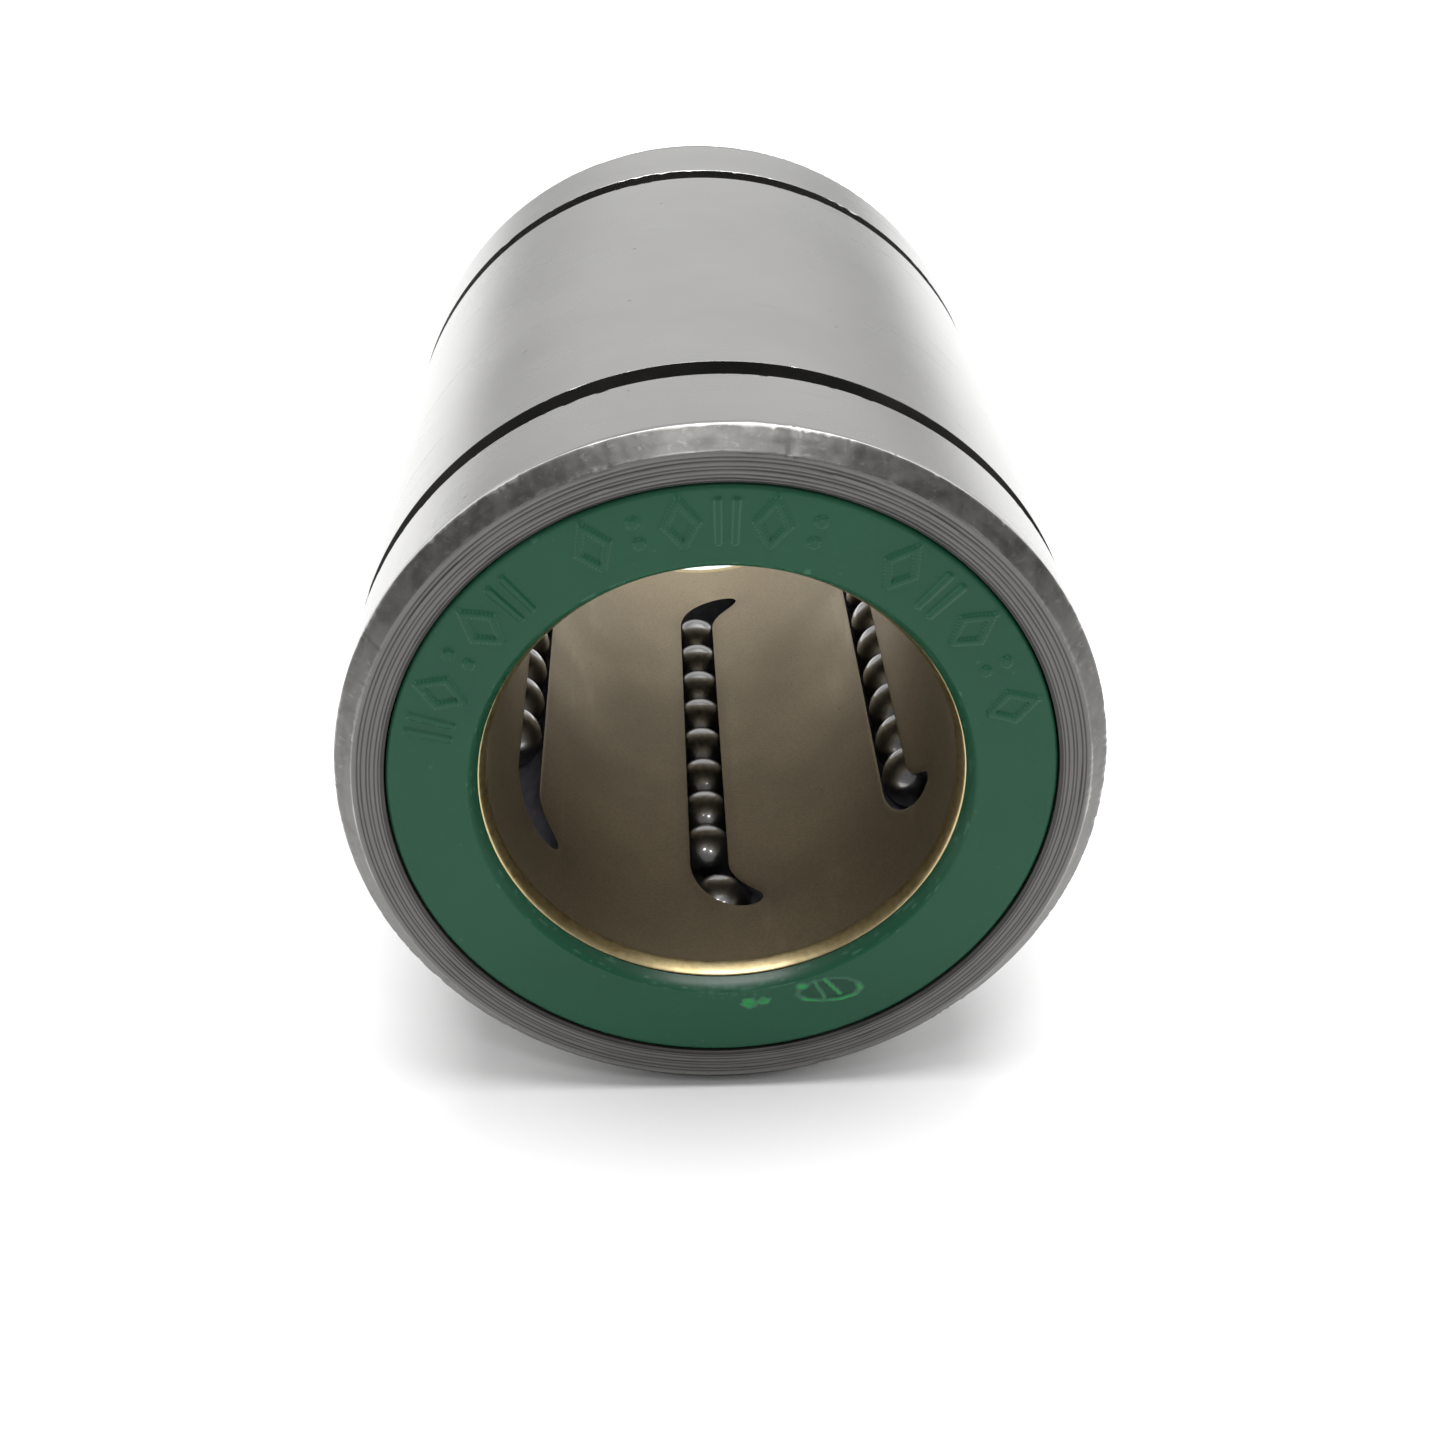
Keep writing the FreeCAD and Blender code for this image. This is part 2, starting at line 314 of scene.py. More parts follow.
def sleeve_end(end):
    """The outline of one end from the middle of the outside to the middle of the bore."""
    rows = []

    def row(y, r, skin, **more):
        rows.append(Row(end * np.asarray(y), r, skin, **more))

    row(0.4, OUTSIDE, GROUND, count=COARSE)
    row(7.0, OUTSIDE, GROUND, count=COARSE)
    row(GROOVE_INNER - 0.5, OUTSIDE, GROUND, count=COARSE)
    # Retaining groove: ground edges with tiny nicks, a dark turned floor with round corners.
    inner_nick, outer_nick = edge_nicks(420, 0.25, 0.09), edge_nicks(420, 0.3, 0.1)
    row(GROOVE_INNER - 0.16, OUTSIDE, GROUND)
    row(GROOVE_INNER - 0.012 - inner_nick, OUTSIDE, GROUND, wear=0.2 + 6 * inner_nick)
    row(GROOVE_INNER, OUTSIDE - 0.012 - inner_nick * 0.6, SCALE, wear=0.3 + 4 * inner_nick)
    row(GROOVE_INNER, GROOVE_FLOOR + 0.1, SCALE, dirt=0.8)
    row(GROOVE_INNER + 0.03, GROOVE_FLOOR + 0.03, SCALE, dirt=1.0)
    row(GROOVE_INNER + 0.1, GROOVE_FLOOR, SCALE, dirt=1.0)
    row(GROOVE_OUTER - 0.1, GROOVE_FLOOR, SCALE, dirt=1.0)
    row(GROOVE_OUTER - 0.03, GROOVE_FLOOR + 0.03, SCALE, dirt=1.0)
    row(GROOVE_OUTER, GROOVE_FLOOR + 0.1, SCALE, dirt=0.8)
    row(GROOVE_OUTER, OUTSIDE - 0.012 - outer_nick * 0.6, GROUND, wear=0.5 + 4 * outer_nick)
    row(GROOVE_OUTER + 0.012 + outer_nick, OUTSIDE, GROUND, wear=0.2 + 6 * outer_nick)
    row(GROOVE_OUTER + 0.16, OUTSIDE, GROUND)
    row(GROOVE_OUTER + 1.0, OUTSIDE, GROUND, count=COARSE)
    # Chamfer: both edges are blunt, with a width that wanders and a few dents. Both edges are painted
    # paler: partly worn bare metal, partly a painted highlight.
    start = HALF_LENGTH - CHAMFER
    dents = sum(dent(*facts) for facts in CHAMFER_DENTS)
    blunt = 0.03 + 0.06 * ripple(240) * ripple(31) + edge_nicks(700, 0.35, 0.1)
    row(start - 0.7, OUTSIDE, GROUND)
    row(start - 0.28, OUTSIDE, GROUND)
    row(start - blunt, OUTSIDE - dents * 0.2, GROUND)
    row(start - blunt * 0.1, OUTSIDE - blunt * 0.38 - dents * 0.5, CHAMFERED, wear=0.6)
    row(start + blunt * 0.75, OUTSIDE - blunt * 1.05 - dents * 0.5, CHAMFERED, wear=0.6)
    row(start + blunt * 0.75 + 0.035, OUTSIDE - blunt * 1.05 - dents * 0.5 - 0.035, CHAMFERED, wear=0.1)
    for share in (0.3, 0.42, 0.56, 0.7):
        hollow = 0.008 * ripple(330) + 0.008 * ripple(90) + 0.4 * dents * (share - 0.2)
        row(start + share * CHAMFER - hollow, OUTSIDE - share * CHAMFER - hollow, CHAMFERED,
            wear=0.12 * ripple(60), dirt=0.3 * ripple(45))
    blunt = 0.03 + 0.05 * ripple(260) * ripple(27) + edge_nicks(700, 0.35, 0.09)
    edge = OUTSIDE - CHAMFER
    row(HALF_LENGTH - blunt * 1.05 - dents * 0.6 - 0.035, edge + blunt * 0.85 + 0.035, CHAMFERED,
        wear=0.1)
    row(HALF_LENGTH - blunt * 1.05 - dents * 0.6, edge + blunt * 0.85, CHAMFERED, wear=0.8)
    row(HALF_LENGTH - blunt * 0.35 - dents * 0.7, edge + blunt * 0.1, FACED, wear=0.9)
    row(HALF_LENGTH - dents * 0.3, edge - blunt * 0.8, FACED, wear=0.4)
    # End face: the turning tool left a handful of shallow round-bottomed lines. Their floors are
    # painted darker, a painted shade, and their lips paler, a painted highlight.
    inner = COUNTERBORE + MOUTH
    pitch = (edge - 0.12 - inner) / len(LINE_SHIFT)
    for n, (shift, full_depth) in enumerate(zip(LINE_SHIFT, LINE_DEPTH)):
        middle = edge - 0.13 - pitch * (n + 0.5) + shift * pitch + 0.012 * (ripple(60) - 0.5)
        depth = full_depth * (0.5 + ripple(40))
        row(HALF_LENGTH - 0.001, middle + LINE_REACH, FACED, wear=0.28)
        row(HALF_LENGTH - depth, middle + LINE_FLAT, FACED, dirt=0.3 + 0.5 * ripple(70))
        row(HALF_LENGTH - depth, middle - LINE_FLAT, FACED, dirt=0.3 + 0.5 * ripple(70))
        row(HALF_LENGTH - 0.001, middle - LINE_REACH, FACED, wear=0.28)
    # The face's inner edge: a slightly paler rim, then darker where it turns into the counterbore.
    row(HALF_LENGTH, inner + 0.03, FACED, wear=0.15)
    row(HALF_LENGTH - 0.02, inner - 0.01, FACED, dirt=0.8)
    # Inside: counterbore with the snap groove, then the raceway.
    row(HALF_LENGTH - MOUTH, COUNTERBORE, SCALE)
    row(HALF_LENGTH - 1.2, COUNTERBORE, INSIDE, count=COARSE, dirt=1.0)
    row(BEAD + BEAD_HALF, COUNTERBORE, INSIDE, count=COARSE, dirt=1.0)
    row(BEAD + BEAD_HALF - BEAD_SLOPE, COUNTERBORE + BEAD_HEIGHT, INSIDE, count=COARSE)
    row(BEAD - BEAD_HALF + BEAD_SLOPE, COUNTERBORE + BEAD_HEIGHT, INSIDE, count=COARSE)
    row(BEAD - BEAD_HALF, COUNTERBORE, INSIDE, count=COARSE)
    row(RACEWAY_END, COUNTERBORE, INSIDE, count=COARSE)
    row(RACEWAY_END, RACEWAY, INSIDE, count=COARSE)
    row(0.4, RACEWAY, INSIDE, count=COARSE)
    return rows


def make_sleeve():
    """The outer sleeve: its turned outline less a round relief behind each circuit."""
    front, rear = sleeve_end(-1), sleeve_end(1)
    reliefs = []
    for index in range(CIRCUITS):
        back, back_sides = half_turn(index, 1, 24)
        near, near_sides = half_turn(index, -1, 24)
        load, chord, normal = circuit_frame(index)
        centres, sides = near + back[::-1], near_sides + back_sides[::-1]
        reliefs.append(swept(centres, sides, normal, circle_section(32), False))
    outline = turned("sleeve_turned", front + rear[::-1])
    return cut("sleeve_turned", outline, joined_mesh("reliefs", reliefs))


# ---------------------------------------------------------------- cage

CAGE_SKINS = ("pocket", "bore", "bevel")
POCKETS, BORED, BEVELLED = range(3)
EDGE_BREAK = 0.13
# The bevel from the bore to the mouth, as shares of its length and of its depth: it is slightly
# rounded over, most of all at the mouth.
BEVEL_PROFILE = ((0.2, 0.15), (0.4, 0.32), (0.58, 0.48), (0.74, 0.64),
                 (0.86, 0.77), (0.94, 0.88), (0.98, 0.95))


def bored_row(y):
    """A circle of the bore, with the edges of the ball slots broken by a small round."""
    angle = clock(FINE)
    points = np.stack([CAGE_BORE * np.sin(angle), np.full(FINE, y), CAGE_BORE * np.cos(angle)], 1)
    outside = track_distance(points)
    near = 1 - smooth_step(outside, 0.0, EDGE_BREAK)
    grime = smooth_step(-outside, -0.6, 0.1)
    # The broken slot edges are also painted paler: a painted highlight along them.
    return Row(y, CAGE_BORE + 0.035 * near ** 2, BORED, wear=near, dirt=grime)


def make_cage():
    """The cage: its turned outline less the six ball tracks, which are open to the outside."""
    bevel_start = CAGE_END - CAGE_BEVEL
    curl = HALF_STRAIGHT + TURN_RADIUS + POCKET
    stations = list(np.arange(0.5, HALF_STRAIGHT - 1.4, 0.95))
    stations += list(np.arange(HALF_STRAIGHT - 1.2, curl - 1.3, 0.17))
    stations += [curl - 0.6, curl + 0.4, curl + 1.6, bevel_start - 0.35]
    ends = []
    for end in (-1, 1):
        rows = [bored_row(end * y) for y in stations]
        blunt = 0.02 + 0.03 * ripple(200) * ripple(23)
        # The rounded edge between bore and bevel is painted paler: a painted highlight.
        rows.append(Row(end * (bevel_start - blunt), CAGE_BORE, BEVELLED, wear=0.2))
        rows.append(
            Row(end * (bevel_start + blunt * 0.5), CAGE_BORE + blunt * 0.25, BEVELLED, wear=0.9))
        wave, worn = 0.004 * ripple(300) + 0.006 * ripple(80), ripple(90) * ripple(13)
        for along, out in BEVEL_PROFILE:
            radius = CAGE_BORE + (CAGE_MOUTH - CAGE_BORE) * out - wave * out
            rows.append(Row(end * (bevel_start + CAGE_BEVEL * along), radius, BEVELLED, wear=worn))
        rows.append(Row(end * (CAGE_END - 0.004), CAGE_MOUTH + 0.01, BEVELLED, wear=0.2))
        rows.append(Row(end * CAGE_END, CAGE_MOUTH + 0.06, BEVELLED))
        rows.append(Row(end * CAGE_END, CAGE_NOSE - NOSE_CHAMFER, POCKETS, count=COARSE))
        rows.append(Row(end * (CAGE_END - NOSE_CHAMFER), CAGE_NOSE, POCKETS, count=COARSE))
        rows.append(Row(end * CAGE_SHOULDER, CAGE_NOSE, POCKETS, count=COARSE))
        rows.append(Row(end * CAGE_SHOULDER, CAGE_BARREL, POCKETS, count=COARSE))
        rows.append(Row(end * 0.5, CAGE_BARREL, POCKETS, count=COARSE))
        ends.append(rows)
    tracks = []
    for index in range(CIRCUITS):
        centres, sides = circuit_path(index, 48)
        load, chord, normal = circuit_frame(index)
        tracks.append(swept(centres, sides, normal, open_section(28, 3.0), True))
    outline = turned("cage_machined", ends[0] + ends[1][::-1])
    return cut("cage_machined", outline, joined_mesh("tracks", tracks))


# ---------------------------------------------------------------- end rings

RING_SKINS = ("green",)
# Chips in the ring's outer edge: place and width in degrees, and depth.
RING_CHIPS = ((-31.9, 0.7, 0.1), (61, 0.5, 0.06), (-100, 0.6, 0.05))
LIP_SHARES = (0.0, 0.08, 0.2, 0.34, 0.48, 0.62, 0.76, 0.88, 1.0)
# The raised marks: the radius of their middles, and the height, half width and soft edge of a stroke.
MARK_MIDDLE, MARK_HEIGHT, MARK_WIDTH, MARK_SOFT = 12.2, 0.09, 0.10, 0.075
MARK_GROUPS = ((-74.0, 5, 8.0), (-24.0, 6, 8.2), (34.0, 5, 9.4))


def mark_distance(kind, x, y):
    """How far a place is from the strokes of a plain raised mark, in millimetres."""
    if kind == "lozenge":
        return np.abs(np.abs(x) / 0.62 + np.abs(y) / 0.95 - 1) / math.hypot(1 / 0.62, 1 / 0.95)
    if kind == "bars":
        return np.hypot(np.abs(x) - 0.34, np.maximum(np.abs(y) - 0.85, 0))
    return np.hypot(x, np.abs(y) - 0.45) - 0.1


def ring_marks(angle, r):
    """Height of the raised marks on a ring's face: lozenges, bars and dots in three groups."""
    height = np.zeros_like(angle)
    kinds = ("bars", "lozenge", "dots", "lozenge")
    number = 0
    for first, count, step in MARK_GROUPS:
        for n in range(count):
            away = (angle - math.radians(first + n * step) + math.pi) % TURN - math.pi
            distance = mark_distance(kinds[number % 4], away * MARK_MIDDLE, r - MARK_MIDDLE)
            height = np.maximum(height, 1 - smooth_step(distance, MARK_WIDTH, MARK_WIDTH + MARK_SOFT))
            number += 1
    return height


def stroke(angle, r, ends, width):
    """From 0 to 1, how much a place is on a short stroke between two (degrees, radius) points."""
    x, z = r * np.sin(angle), r * np.cos(angle)
    (da, ra), (db, rb) = ends
    a = np.array([ra * math.sin(math.radians(da)), ra * math.cos(math.radians(da))])
    b = np.array([rb * math.sin(math.radians(db)), rb * math.cos(math.radians(db))])
    d = b - a
    t = np.clip(((x - a[0]) * d[0] + (z - a[1]) * d[1]) / (d @ d), 0, 1)
    away = np.hypot(x - a[0] - t * d[0], z - a[1] - t * d[1])
    return 1 - smooth_step(away, width * 0.4, width)


def gouge(angle, r):
    """The scuffed spots at the front ring's lower lip: (raised burr, pressed hollow)."""
    x, z = r * np.sin(angle), r * np.cos(angle)
    # A pressed oval patch. Its rim is torn up unevenly, most of all below, with two scratches across.
    dx, dz = x - 4.65, z + 10.42
    c, s = math.cos(math.radians(7)), math.sin(math.radians(7))
    u, v = (dx * c + dz * s) / 1.36, (-dx * s + dz * c) / 0.6
    way = np.arctan2(v, u)
    oval = np.hypot(u, v) * (1 + 0.035 * np.sin(3 * way + 0.8) + 0.02 * np.sin(11 * way))
    strength = 0.5 - 0.5 * np.sin(way - 0.3) + 0.25 * np.sin(5 * way + 1.1)
    burr = (1 - smooth_step(np.abs(oval - 1), 0.05, 0.16)) * np.clip(strength, 0.3, 0.95)
    blob = 1 - smooth_step(np.hypot((x - 3.45) / 0.4, (z + 10.22) / 0.26), 0.4, 1.0)
    burr = np.maximum(burr, 0.85 * blob)
    burr = np.maximum(burr, 0.7 * stroke(angle, r, ((158.3, 10.72), (157.8, 11.75)), 0.11))
    burr = np.maximum(burr, 0.85 * stroke(angle, r, ((155.9, 10.8), (154.4, 11.85)), 0.13))
    hollow = 1 - smooth_step(oval, 0.75, 1.0)
    # A torn spot beside it.
    ragged = 0.5 + 0.5 * np.sin(x * 11 + 2 * np.sin(z * 9)) * np.sin(z * 13 + x * 5)
    torn = 0.0
    for middle_x, middle_z, half_x, half_z in ((1.12, -11.1, 0.5, 0.36), (1.78, -10.98, 0.38, 0.27)):
        away = np.hypot((x - middle_x) / half_x, (z - middle_z) / half_z) + 0.4 * ragged
        torn = np.maximum(torn, 1 - smooth_step(away, 0.85, 1.1))
    burr = np.maximum(burr, torn * (0.6 + 0.35 * ragged))
    # A fleck on the lip near the top.
    fleck = 1 - smooth_step(np.hypot(x - 3.2, z - 10.01), 0.08, 0.2)
    return np.maximum(burr, 0.45 * fleck), np.maximum(hollow, torn * (1 - ragged))


def rubbing_and_highlight(angle, r):
    """Pale streaks on the front ring's lip at the bottom: streaks that shafts have left, and a painted
    highlight where the lip faces the overhead light.
    """
    degrees = np.degrees(angle) % 360
    window = smooth_step(degrees, 165, 172) * (1 - smooth_step(degrees, 184, 191))
    streaks = 0.5 + 0.25 * np.sin(22 * r + degrees * 0.5) + 0.15 * np.sin(31 * r - degrees * 0.9)
    streaks = streaks + 0.18 * np.sin(degrees * 2.3 + 5 * r) * np.sin(degrees * 0.83)
    reach = 10.5 + 0.3 * np.sin(degrees * 1.7) * np.sin(degrees * 4.1 + 1)
    return 0.34 * window * streaks * (1 - smooth_step(r, reach, reach + 0.35))


def ring_face_row(end, r, marked):
    """A circle of a ring's face, with raised marks if marked, and scuffs on the front ring. The marks'
    rims get a painted highlight, and so, in part, does the lip's bottom on the front ring.
    """
    angle = clock(FINE)
    height = np.zeros(FINE)
    wear = np.zeros(FINE)
    dirt = 0.0
    sink = 0.006 * ripple(18)
    if marked:
        marks = ring_marks(angle, r)
        height += MARK_HEIGHT * marks
        # The marks' soft rims are painted paler: a painted highlight.
        wear += 1.4 * marks * (1 - marks)
    if end < 0:
        burr, hollow = gouge(angle, r)
        height += 0.06 * burr - 0.05 * hollow
        # Pale streaks at the lip's bottom: rubbing by shafts and a painted highlight.
        wear = np.maximum(np.maximum(wear, burr), rubbing_and_highlight(angle, r))
        dirt = 0.45 * hollow * (1 - burr)
    return Row(end * (RING_FACE - sink + height), r, 0, wear=wear, dirt=dirt)


def make_ring(end):
    """An end ring, -1 for the front and 1 for the rear: its outline less the ball bends."""
    rows = []
    inner = CAGE_MOUTH
    # The lip: a slope that eases into the face.
    for share in LIP_SHARES:
        y = RING_FACE - LIP_DEPTH * (1 - share) ** 1.35
        r = inner + LIP_WIDTH * share
        wander = 0.004 * ripple(60) * math.sin(math.pi * share)
        wear = 0.5 * smooth_step(ripple(150), 0.8, 1.0)
        if end < 0:
            burr, hollow = gouge(clock(FINE), r)
            y = y + 0.05 * burr * share
            # Pale streaks at the lip's bottom: rubbing by shafts and a painted highlight.
            wear = np.maximum(np.maximum(wear, burr), rubbing_and_highlight(clock(FINE), r))
        rows.append(Row(end * (y - wander), r, 0, wear=wear))
    for r in np.arange(inner + LIP_WIDTH + 0.08, 11.15, 0.075):
        rows.append(ring_face_row(end, r, False))
    for r in np.arange(11.16, 13.27, 0.062):
        rows.append(ring_face_row(end, r, True))
    chip = sum(dent(*facts) for facts in RING_CHIPS) + edge_nicks(300, 0.12, 0.05)
    rows.append(Row(end * RING_FACE, RING_OUTER - RING_EDGE - 0.12 - chip, 0))
    rows.append(Row(end * (RING_FACE - 0.012), RING_OUTER - RING_EDGE - chip * 0.8, 0, wear=4 * chip))
    rows.append(Row(end * (RING_FACE - 0.075), RING_OUTER - 0.06 - chip * 0.5, 0, wear=2 * chip))
    rows.append(Row(end * (RING_FACE - RING_EDGE - 0.05), RING_OUTER, 0, dirt=0.3))
    hidden = [
        (RING_FACE - 1.2, RING_OUTER),
        (BEAD + BEAD_HALF, RING_OUTER),
        (BEAD + BEAD_HALF - BEAD_SLOPE, RING_OUTER + BEAD_HEIGHT),
        (BEAD - BEAD_HALF + BEAD_SLOPE, RING_OUTER + BEAD_HEIGHT),
        (BEAD - BEAD_HALF, RING_OUTER),
        (COLLAR_END, RING_OUTER),
        (COLLAR_END, COLLAR_INNER),
        (CAGE_SHOULDER + FIT_GAP, COLLAR_INNER),
        (CAGE_SHOULDER + FIT_GAP, CAGE_NOSE + FIT_GAP),
        (CAGE_END + FIT_GAP, CAGE_NOSE + FIT_GAP),
    ]
    rows += [Row(end * y, r, 0, count=COARSE) for y, r in hidden]
    rows.append(Row(end * (CAGE_END + FIT_GAP), inner + 0.02, 0, dirt=0.5))
    rows.append(Row(end * (CAGE_END + FIT_GAP + 0.03), inner, 0, dirt=0.5))
    bends = []
    for index in range(CIRCUITS):
        centres, sides = half_turn(index, end, 24)
        load, chord, normal = circuit_frame(index)
        bends.append(swept(centres, sides, normal, circle_section(32), False))
    name = "front_ring_moulded" if end < 0 else "rear_ring_moulded"
    return cut(name, turned(name, rows), joined_mesh("bends", bends))


# ---------------------------------------------------------------- shader graphs

class Graph:
    """A node tree that is filled by short calls. Every call returns an output socket."""

    def __init__(self, tree):
        self.tree = tree
        self.tree.nodes.clear()

    def feed(self, socket, value):
        if isinstance(value, bpy.types.NodeSocket):
            self.tree.links.new(value, socket)
        elif socket.type == "RGBA" and len(value) == 3:
            socket.default_value = (*value, 1.0)
        else:
            socket.default_value = value

    def math(self, operation, a, b=0.0, clamp=False):
        node = self.tree.nodes.new("ShaderNodeMath")
        node.operation = operation
        node.use_clamp = clamp
        self.feed(node.inputs[0], a)
        self.feed(node.inputs[1], b)
        return node.outputs[0]

    def scaled(self, factors, vector=None):
        node = self.tree.nodes.new("ShaderNodeVectorMath")
        node.operation = "MULTIPLY"
        self.feed(node.inputs[0], vector or self.place)
        node.inputs[1].default_value = factors
        return node.outputs[0]

    def radius(self):
        """The distance from the bore's axis, in metres."""
        node = self.tree.nodes.new("ShaderNodeVectorMath")
        node.operation = "LENGTH"
        self.feed(node.inputs[0], self.scaled((1, 0, 1)))
        return node.outputs["Value"]

    def split(self, vector=None):
        node = self.tree.nodes.new("ShaderNodeSeparateXYZ")
        self.feed(node.inputs[0], vector or self.place)
        return node.outputs

    def joined(self, x, y, z):
        node = self.tree.nodes.new("ShaderNodeCombineXYZ")
        for socket, value in zip(node.inputs, (x, y, z)):
            self.feed(socket, value)
        return node.outputs[0]

    def noise(self, vector, scale=1.0, detail=3.0, roughness=0.5, distortion=0.0):
        node = self.tree.nodes.new("ShaderNodeTexNoise")
        self.feed(node.inputs["Vector"], vector)
        node.inputs["Scale"].default_value = scale
        node.inputs["Detail"].default_value = detail
        node.inputs["Roughness"].default_value = roughness
        node.inputs["Distortion"].default_value = distortion
        return node.outputs[0]

    def cells(self, vector, scale=1.0):
        node = self.tree.nodes.new("ShaderNodeTexVoronoi")
        self.feed(node.inputs["Vector"], vector)
        node.inputs["Scale"].default_value = scale
        return node.outputs["Distance"]

    def between(self, value, low, high, out_low=0.0, out_high=1.0):
        """value from low..high to out_low..out_high, clamped and smooth."""
        node = self.tree.nodes.new("ShaderNodeMapRange")
        node.interpolation_type = "SMOOTHSTEP"
        self.feed(node.inputs["Value"], value)
        node.inputs["From Min"].default_value = low
        node.inputs["From Max"].default_value = high
        node.inputs["To Min"].default_value = out_low
        node.inputs["To Max"].default_value = out_high
        return node.outputs[0]

    def blend(self, share, a, b):
        """Colour a where share is 0, colour b where it is 1."""
        node = self.tree.nodes.new("ShaderNodeMix")
        node.data_type = "RGBA"
        self.feed(node.inputs[0], share)
        self.feed(node.inputs[6], a)
        self.feed(node.inputs[7], b)
        return node.outputs[2]

    def attribute(self, name):
        node = self.tree.nodes.new("ShaderNodeAttribute")
        node.attribute_name = name
        return node.outputs["Fac"]

    def bump(self, height, distance, normal=None):
        node = self.tree.nodes.new("ShaderNodeBump")
        node.inputs["Distance"].default_value = distance
        self.feed(node.inputs["Height"], height)
        if normal is not None:
            self.feed(node.inputs["Normal"], normal)
        return node.outputs[0]


class Skin(Graph):
    """A material with one surface shader. place is the place on the object, in metres."""

    def __init__(self, name):
        self.material = bpy.data.materials.new(name)
        self.material.use_nodes = True
        super().__init__(self.material.node_tree)
        output = self.tree.nodes.new("ShaderNodeOutputMaterial")
        self.shader = self.tree.nodes.new("ShaderNodeBsdfPrincipled")
        self.tree.links.new(self.shader.outputs[0], output.inputs["Surface"])
        self.place = self.tree.nodes.new("ShaderNodeTexCoord").outputs["Object"]

    def set(self, **values):
        for name, value in values.items():
            self.feed(self.shader.inputs[name.replace("_", " ")], value)

    def around(self):
        """The direction round the bore's axis, for a finish with a grain."""
        node = self.tree.nodes.new("ShaderNodeTangent")
        node.direction_type = "RADIAL"
        node.axis = "Y"
        return node.outputs[0]


def steel_ground():
    """The ground outside of the sleeve: satin, with a grain round the part, faint scuffs and specks."""
    g = Skin("steel_ground")
    lines = g.noise(g.scaled((40, 16000, 40)), detail=2.0)
    cloud = g.noise(g.place, scale=110.0, detail=3.0, roughness=0.5)
    scuff = g.between(g.noise(g.scaled((160, 1500, 160)), detail=3.0, distortion=0.6), 0.6, 0.82)
    speck = g.between(g.cells(g.place, scale=420.0), 0.02, 0.055, 1.0, 0.0)
    base = g.blend(g.between(cloud, 0.25, 0.75), (0.365, 0.36, 0.353), (0.425, 0.42, 0.413))
    base = g.blend(g.math("MULTIPLY", scuff, 0.2), base, (0.27, 0.265, 0.25))
    base = g.blend(g.math("MULTIPLY", speck, 0.7), base, (0.14, 0.14, 0.13))
    rough = g.math("ADD", g.between(cloud, 0.25, 0.75, 0.25, 0.28), g.math("MULTIPLY", scuff, 0.05))
    g.set(Base_Color=base, Metallic=1.0, Roughness=rough)
    g.set(Anisotropic=0.85, Tangent=g.around())
    g.set(Normal=g.bump(lines, 0.0000012))
    return g.material


def steel_faced():
    """The turned end face: duller and darker; its tool lines get painted shade in their floors and a
    painted highlight on their lips.
    """
    g = Skin("steel_faced")
    wear, dirt = g.attribute("wear"), g.attribute("dirt")
    x, y, z = g.split()
    rings = g.noise(g.joined(g.math("MULTIPLY", g.radius(), 26000.0), g.math("MULTIPLY", x, 90.0),
                             g.math("MULTIPLY", z, 90.0)), detail=2.0)
    cloud = g.noise(g.place, scale=300.0, detail=5.0, roughness=0.6)
    base = g.blend(g.between(cloud, 0.3, 0.7), (0.068, 0.066, 0.065), (0.108, 0.105, 0.104))
    base = g.blend(g.math("MULTIPLY", g.between(rings, 0.35, 0.7), 0.5), base, (0.09, 0.085, 0.08))
    # Darker in the tool lines' floors: painted shade.
    base = g.blend(g.math("MULTIPLY", dirt, 0.7), base, (0.035, 0.033, 0.031))
    # Paler on the lines' lips and the worn outer edge: partly a painted highlight.
    base = g.blend(g.math("MULTIPLY", wear, 0.5), base, (0.45, 0.44, 0.42))
    g.set(Base_Color=base, Metallic=1.0, Roughness=g.between(cloud, 0.2, 0.8, 0.42, 0.56))
    g.set(Normal=g.bump(rings, 0.000006))
    return g.material


def steel_chamfer():
    """The chamfer: mottled by handling, bright at its edges: worn bare metal and a painted highlight.
    """
    g = Skin("steel_chamfer")
    wear, dirt = g.attribute("wear"), g.attribute("dirt")
    blotch = g.noise(g.place, scale=900.0, detail=5.0, roughness=0.65, distortion=0.3)
    patch = g.noise(g.place, scale=190.0, detail=2.0)
    scratch = g.between(g.noise(g.scaled((2600, 700, 5200)), detail=3.0, distortion=0.5), 0.58, 0.72)
    base = g.blend(g.between(blotch, 0.3, 0.68), (0.098, 0.096, 0.093), (0.142, 0.139, 0.134))
    base = g.blend(g.math("MULTIPLY", dirt, 0.25), base, (0.06, 0.058, 0.055))
    shine = g.math("MULTIPLY", wear, g.between(patch, 0.42, 0.62, 0.1, 0.6))
    shine = g.math("MULTIPLY", shine, g.between(blotch, 0.3, 0.55, 0.35, 1.0))
    base = g.blend(shine, base, (0.58, 0.57, 0.55))
    base = g.blend(g.math("MULTIPLY", scratch, 0.16), base, (0.4, 0.39, 0.37))
    g.set(Base_Color=base, Metallic=1.0, Roughness=g.between(blotch, 0.2, 0.8, 0.34, 0.46))
    g.set(Normal=g.bump(blotch, 0.000006, g.bump(scratch, 0.0000008)))
    return g.material


